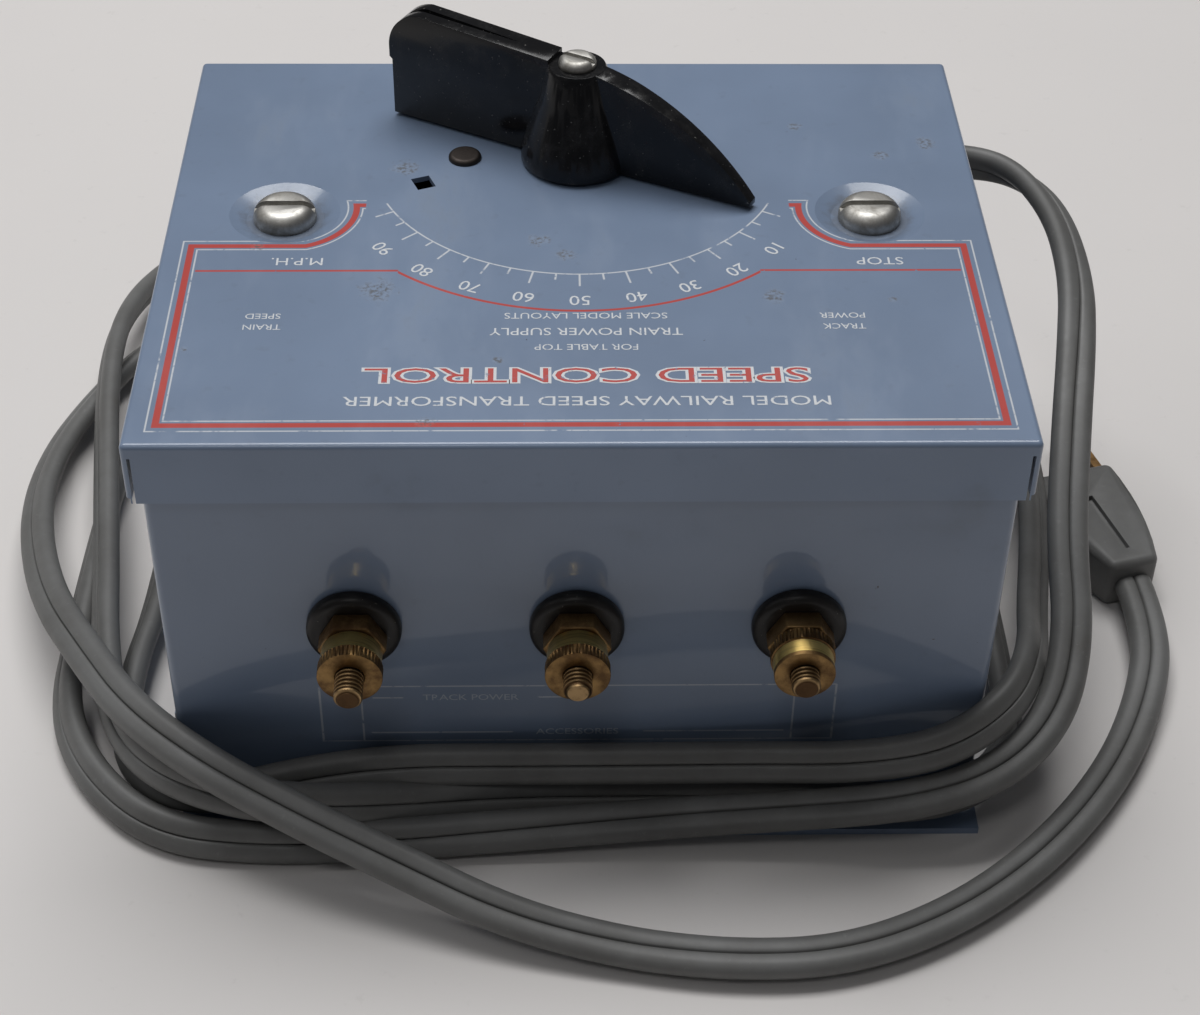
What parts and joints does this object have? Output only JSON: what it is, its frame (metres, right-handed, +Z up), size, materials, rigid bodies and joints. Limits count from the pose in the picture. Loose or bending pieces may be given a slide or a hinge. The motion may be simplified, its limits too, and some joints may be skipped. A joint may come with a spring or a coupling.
{
  "type": "model_railway_transformer_controller",
  "caption": "Enamelled steel model railway transformer with a speed lever on a printed dial, binding posts at the front and a long flat cord with its plug",
  "frame": {"origin": "middle of the base plate's underside, on the surface it stands on", "axes": "+X to the right of the front face, +Y to the rear, +Z up"},
  "size_m": [0.1967, 0.2124, 0.0913],
  "materials": {
    "plated_steel": "satin",
    "blue_enamel": "semi-gloss",
    "black_steel": "satin",
    "core_steel": "matte",
    "pressboard": "matte",
    "wire_copper": "gloss",
    "phenolic": "satin",
    "brass": "aged",
    "black_moulding": "gloss",
    "cord_rubber": "matte",
    "lead_sleeve": "matte"
  },
  "bodies": {
    "controller": {"base_plate": "plated_steel", "case_body": "blue_enamel", "top_cover": "blue_enamel", "end_bracket_left": "plated_steel", "end_bracket_right": "plated_steel", "cover_screws": "plated_steel", "bracket_rivets": "plated_steel", "plate_rivets": "black_steel", "lamination_stack": "core_steel", "core_bolts": "plated_steel", "core_nuts": "plated_steel", "winding_tube": "pressboard", "primary_winding": "wire_copper", "interlayer_insulation": "pressboard", "secondary_winding": "wire_copper", "bearing_plate": "phenolic", "shaft_bushing": "brass", "bushing_nut": "brass", "collector_lug": "brass", "spring_washer": "plated_steel", "terminal_studs": "brass", "outer_washers": "phenolic", "inner_washers": "phenolic", "outer_nuts": "brass", "inner_nuts": "brass", "solder_lugs": "brass", "breaker_base": "phenolic", "breaker_bimetal": "plated_steel", "breaker_terminal": "brass", "breaker_contacts": "brass", "breaker_screws": "plated_steel", "power_cord": "cord_rubber", "cord_grommet": "cord_rubber", "post_leads": "lead_sleeve", "primary_leads": "lead_sleeve", "plug_body": "cord_rubber", "plug_blades": "brass"},
    "lever": {"control_knob": "black_moulding", "knob_screw": "plated_steel", "control_shaft": "plated_steel", "shaft_clip": "plated_steel", "arm_hub": "brass", "contact_arm": "brass", "contact_shoe": "brass"},
    "nut_left": {"thumb_nut_left": "brass"},
    "nut_middle": {"thumb_nut_middle": "brass"},
    "nut_right": {"thumb_nut_right": "brass"}
  },
  "joints": [
    {"name": "lever_turn", "type": "hinge", "parent": "controller", "child": "lever", "pos_m": [0, 0.0214, 0.072], "axis": [0, 0, 1], "range_deg": [-123, 0]},
    {"name": "nut_left_travel", "type": "slide", "parent": "controller", "child": "nut_left", "axis": [0, -1, 0], "range_m": [0, 0.0025]},
    {"name": "nut_middle_travel", "type": "slide", "parent": "controller", "child": "nut_middle", "axis": [0, -1, 0], "range_m": [0, 0.0025]},
    {"name": "nut_right_travel", "type": "slide", "parent": "controller", "child": "nut_right", "axis": [0, -1, 0], "range_m": [0, 0.0025]}
  ]
}
